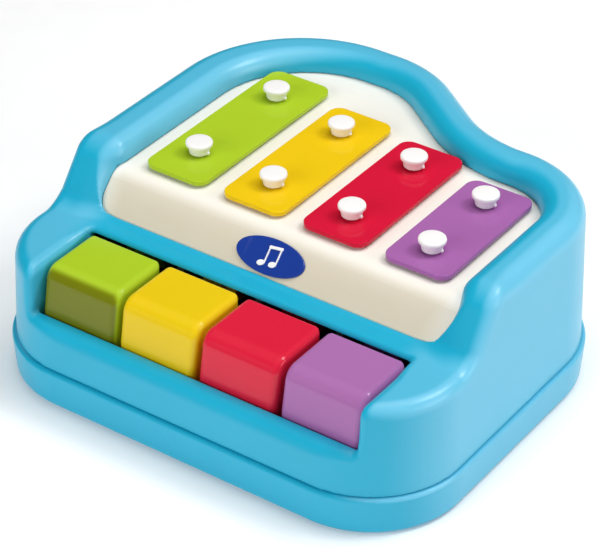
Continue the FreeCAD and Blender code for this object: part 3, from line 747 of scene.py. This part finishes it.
KEY_TONES = {
    "green": (170, 200, 40),
    "yellow": (230, 196, 20),
    "red": (216, 32, 60),
    "purple": (168, 108, 168),
}
BAR_TONES = {
    "green": (170, 200, 42),
    "yellow": (233, 194, 20),
    "red": (208, 24, 56),
    "purple": (163, 100, 165),
}
KEY_LOOK = {"grain": 800.0, "bump": 0.008, "drift": 0.03, "wear": 0.0, "gloss_level": 0.4, "patchy": 0.5}
BAR_LOOK = {"grain": 1500.0, "bump": 0.006, "drift": 0.02, "wear": 0.0, "gloss_level": 0.16, "patchy": 0.3}
# Painted shade: the green key's front face is painted dark olive.
PAINTED_FRONT_SHADE = {"green": {"painted_shading": linear(104, 106, 4), "painted_shading_share": 0.9, "way": (0.0, -1.0, 0.0)}}


def dress(node, material):
    """Give a piece of the CAD its material and slot."""
    piece = NODES[node]
    piece.data.materials.clear()
    piece.data.materials.append(material)


housing_piece.data.materials.append(BLUE)
bosses.data.materials.append(BLUE)
motif.data.materials.append(INK)
pegs.data.materials.append(PEG_WHITE)
for spring in spring_pieces:
    spring.data.materials.append(SPRING)
dress("upper_housing", BLUE)
dress("base_tray", BLUE)
dress("bar_deck", WHITE)
dress("bar_pegs", PEG_WHITE)
dress("peg_retainers", SPRING)
dress("bar_cushions", RUBBER)
dress("rubber_feet", RUBBER)
dress("rod_caps", FRAME)
dress("action_frame", FRAME)
dress("key_rod", ROD)
dress("hammer_rod", ROD)
for node in ("key_down_stop", "key_up_stop", "hammer_rest"):
    dress(node, FELT)
for node in ("housing_screws", "deck_screws", "frame_screws"):
    dress(node, SCREW)
dress("front_badge", BADGE)
for colour in COLOURS:
    key_look = {**KEY_LOOK, **PAINTED_FRONT_SHADE.get(colour, {})}
    key_plastic = finish("key_plastic_" + colour, linear(*KEY_TONES[colour]), 0.17, **key_look)
    bar_paint = finish("bar_paint_" + colour, linear(*BAR_TONES[colour]), 0.11, **BAR_LOOK)
    dress("key_" + colour, key_plastic)
    dress("tone_bar_" + colour, bar_paint)
    dress("hammer_arm_" + colour, HAMMER)
    dress("hammer_head_" + colour, STRIKER)
    dress("return_spring_" + colour, SPRING)

# ---- Floor, light and camera ---------------------------------------------------------

FLOOR_REACH = 6.0
floor_corners = [(x * FLOOR_REACH, y * FLOOR_REACH, 0) for x, y in ((-1, -1), (1, -1), (1, 1), (-1, 1))]
floor_mesh = bpy.data.meshes.new("studio_floor")
floor_mesh.from_pydata(floor_corners, [], [(0, 1, 2, 3)])
floor = bpy.data.objects.new("studio_floor", floor_mesh)
bpy.context.scene.collection.objects.link(floor)
FLOOR = finish("studio_floor", linear(250, 250, 250), 0.75, bump=0.0, drift=0.01, wear=0.0)
floor_mesh.materials.append(FLOOR)
floor_shader = next(node for node in FLOOR.node_tree.nodes if node.type == "BSDF_PRINCIPLED")
floor_shader.inputs["Emission Color"].default_value = (1.0, 1.0, 1.0, 1.0)
floor_shader.inputs["Emission Strength"].default_value = 0.1


def overhead_world(zenith, horizon, edge_low, edge_high):
    """A wide soft source straight above, and a dimmer room round it."""
    world = bpy.data.worlds.new("studio")
    world.use_nodes = True
    tree = world.node_tree
    place = tree.nodes.new("ShaderNodeTexCoord")
    split = tree.nodes.new("ShaderNodeSeparateXYZ")
    link(place, "Generated", split, 0)
    reach = map_range(tree, edge_low, edge_high, horizon, zenith, smooth=True)
    link(split, "Z", reach, "Value")
    link(reach, "Result", tree.nodes["Background"], "Strength")
    return world


bpy.context.scene.world = overhead_world(zenith=5.9, horizon=0.95, edge_low=0.72, edge_high=0.80)
bpy.context.scene.view_settings.view_transform = "Standard"


def area_light(name, place, target, width, depth, power, mirrored):
    """A rectangular lamp that looks at target. Shiny surfaces show it only when mirrored is set."""
    data = bpy.data.lights.new(name, "AREA")
    data.shape = "RECTANGLE"
    data.size, data.size_y = width, depth
    data.energy = power
    lamp = bpy.data.objects.new(name, data)
    lamp.location = place
    lamp.visible_glossy = mirrored
    lamp.rotation_euler = (Vector(target) - Vector(place)).to_track_quat("-Z", "Y").to_euler()
    bpy.context.scene.collection.objects.link(lamp)


LAMPS = [
    ("key_light", (0.75, 0.55, 1.3), (0, 0, 0.05), 0.5, 0.5, 9.0, True),
    ("front_fill", (-0.35, -1.7, 0.75), (0, 0, 0.04), 1.6, 0.9, 20.0, False),
    ("top_soft", (0.1, 0.15, 1.5), (0, 0, 0.05), 1.0, 1.0, 10.5, False),
    ("right_panel", (1.6, 0.3, 0.6), (0, 0, 0.06), 1.0, 0.8, 8.0, True),
]
for lamp in LAMPS:
    area_light(*lamp)

AZIMUTH, ELEVATION, ROLL = (math.radians(a) for a in (34.578, 34.406, 0.498))
AIM, DISTANCE = (0.02443, -0.06493, 0.08466), 1.19951
sine, cosine = math.sin(AZIMUTH), math.cos(AZIMUTH)
back = Vector((sine * math.cos(ELEVATION), -cosine * math.cos(ELEVATION), math.sin(ELEVATION)))
level = Vector((cosine, sine, 0))
upward = back.cross(level)
right = level * math.cos(ROLL) + upward * math.sin(ROLL)
up = upward * math.cos(ROLL) - level * math.sin(ROLL)
camera_data = bpy.data.cameras.new("camera")
camera_data.sensor_width = 36.0
camera_data.lens = 150.0
camera = bpy.data.objects.new("camera", camera_data)
bpy.context.scene.collection.objects.link(camera)
looking = Matrix((right, up, back)).transposed().to_4x4()
eye = Vector(AIM) + Vector(SHIFT.tolist()) * MM + back * DISTANCE
camera.matrix_world = Matrix.Translation(eye) @ looking
bpy.context.scene.camera = camera
